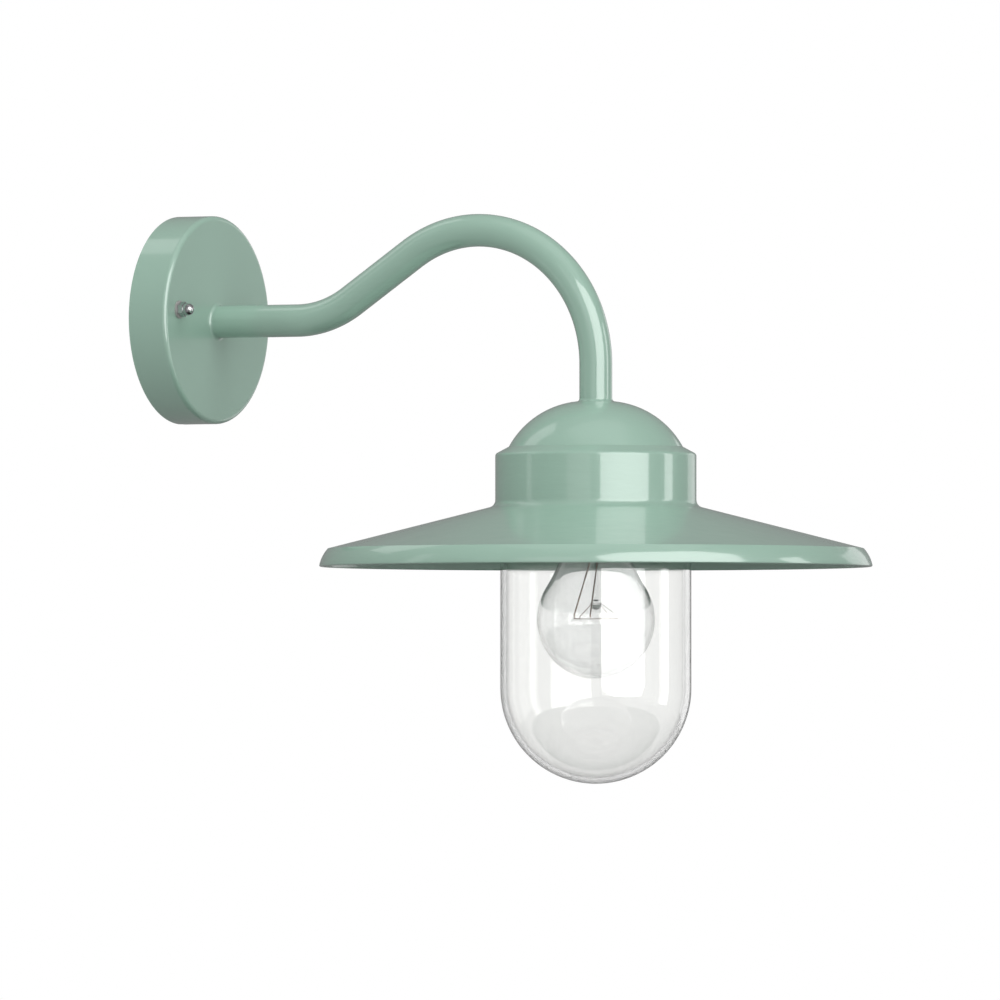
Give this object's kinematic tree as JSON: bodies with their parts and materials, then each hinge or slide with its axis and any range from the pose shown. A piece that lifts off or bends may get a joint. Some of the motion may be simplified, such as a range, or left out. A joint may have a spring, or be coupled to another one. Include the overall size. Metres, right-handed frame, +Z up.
{
  "type": "barn light",
  "caption": "Wall light: bent tube arm, spun enamelled shade with a screwed glass jar over a bulb, on a round wall plate.",
  "frame": {"origin": "centre of the wall plate's back face, on the wall", "axes": "+X out from the wall towards the lamp, +Y sideways, +Z up"},
  "size_m": [0.3965, 0.29, 0.3016],
  "materials": {
    "green_paint": "semi-gloss sage green enamel",
    "zinc_steel": "bright zinc plate",
    "chrome": "polished",
    "cast_aluminium": "as cast, satin",
    "porcelain": "glazed porcelain",
    "brass": "plain",
    "clear_glass": "clear, pressed",
    "bulb_clear": "clear, blown",
    "cap_metal": "rolled sheet",
    "solder": "dull solder",
    "black_glass": "black glass",
    "fine_wire": "drawn wire",
    "black_rubber": "matt",
    "white_nylon": "natural nylon",
    "brown_core": "brown insulation",
    "blue_core": "blue insulation",
    "earth_core": "green and yellow insulation"
  },
  "bodies": {
    "lamp": {"wall_plate": "green_paint", "wall_seal": "black_rubber", "mounting_bracket": "zinc_steel", "cable_grommet": "black_rubber", "bracket_studs": "zinc_steel", "stud_lock_nuts": "zinc_steel", "arm_tube": "green_paint", "wall_spigot": "zinc_steel", "wall_washer": "zinc_steel", "wall_nut": "zinc_steel", "head_spigot": "zinc_steel", "crown_seal": "black_rubber", "crown_nut": "zinc_steel", "shade": "green_paint", "jar_carrier": "cast_aluminium", "carrier_nut": "zinc_steel", "holder_strap": "zinc_steel", "holder_screws": "zinc_steel", "lampholder": "porcelain", "screw_shell": "brass", "live_post": "brass", "neutral_post": "brass", "terminal_block": "white_nylon", "terminal_inserts": "brass", "clamp_screws": "zinc_steel", "block_screws": "zinc_steel", "live_core": "brown_core", "neutral_core": "blue_core", "earth_lead": "earth_core", "earth_tag": "zinc_steel", "earth_screw": "zinc_steel"},
    "jar_ring": {"jar_seal": "black_rubber"},
    "jar": {"glass_jar": "clear_glass"},
    "bulb_contact": {"bulb_tip": "solder"},
    "bulb": {"bulb_glass": "bulb_clear", "bulb_cap": "cap_metal", "bulb_insulator": "black_glass", "bulb_stem": "bulb_clear", "bulb_leads": "fine_wire", "bulb_supports": "fine_wire", "bulb_filament": "fine_wire"},
    "left_washer": {"seal_washer_left": "white_nylon"},
    "left_nut": {"cap_nut_left": "chrome"},
    "right_washer": {"seal_washer_right": "white_nylon"},
    "right_nut": {"cap_nut_right": "chrome"},
    "contact": {"contact_leaf": "brass"}
  },
  "joints": [
    {"name": "jar_lower", "type": "slide", "parent": "lamp", "child": "jar_ring", "axis": [0, 0, -1], "range_m": [0, 0.006]},
    {"name": "jar_turn", "type": "hinge", "parent": "jar_ring", "child": "jar", "pos_m": [0.2515, 0, -0.1025], "axis": [0, 0, -1], "range_deg": [0, 545]},
    {"name": "bulb_draw", "type": "slide", "parent": "lamp", "child": "bulb_contact", "axis": [0, 0, -1], "range_m": [0, 0.01996]},
    {"name": "bulb_turn", "type": "hinge", "parent": "bulb_contact", "child": "bulb", "pos_m": [0.2515, 0, -0.0874], "axis": [0, 0, -1], "range_deg": [0, 1985]},
    {"name": "left_nut_draw", "type": "slide", "parent": "lamp", "child": "left_washer", "axis": [1, 0, 0], "range_m": [0, 0.00455]},
    {"name": "left_nut_turn", "type": "hinge", "parent": "left_washer", "child": "left_nut", "pos_m": [0.0233, -0.041, 0.0045], "axis": [1, 0, 0], "range_deg": [0, 2345]},
    {"name": "right_nut_draw", "type": "slide", "parent": "lamp", "child": "right_washer", "axis": [1, 0, 0], "range_m": [0, 0.00455]},
    {"name": "right_nut_turn", "type": "hinge", "parent": "right_washer", "child": "right_nut", "pos_m": [0.0233, 0.041, 0.0045], "axis": [1, 0, 0], "range_deg": [0, 2345]},
    {"name": "contact_press", "type": "hinge", "parent": "lamp", "child": "contact", "pos_m": [0.2445, 0, -0.0846], "axis": [0, -1, 0], "range_deg": [0, 4], "stiffness_Nm_per_rad": 0.05}
  ],
  "couplings": [
    {"joint": "jar_turn", "follows": "jar_lower", "rad_per_m": 1570.8},
    {"joint": "bulb_turn", "follows": "bulb_draw", "rad_per_m": 1731.4},
    {"joint": "left_nut_turn", "follows": "left_nut_draw", "rad_per_m": 8976},
    {"joint": "right_nut_turn", "follows": "right_nut_draw", "rad_per_m": 8976}
  ]
}
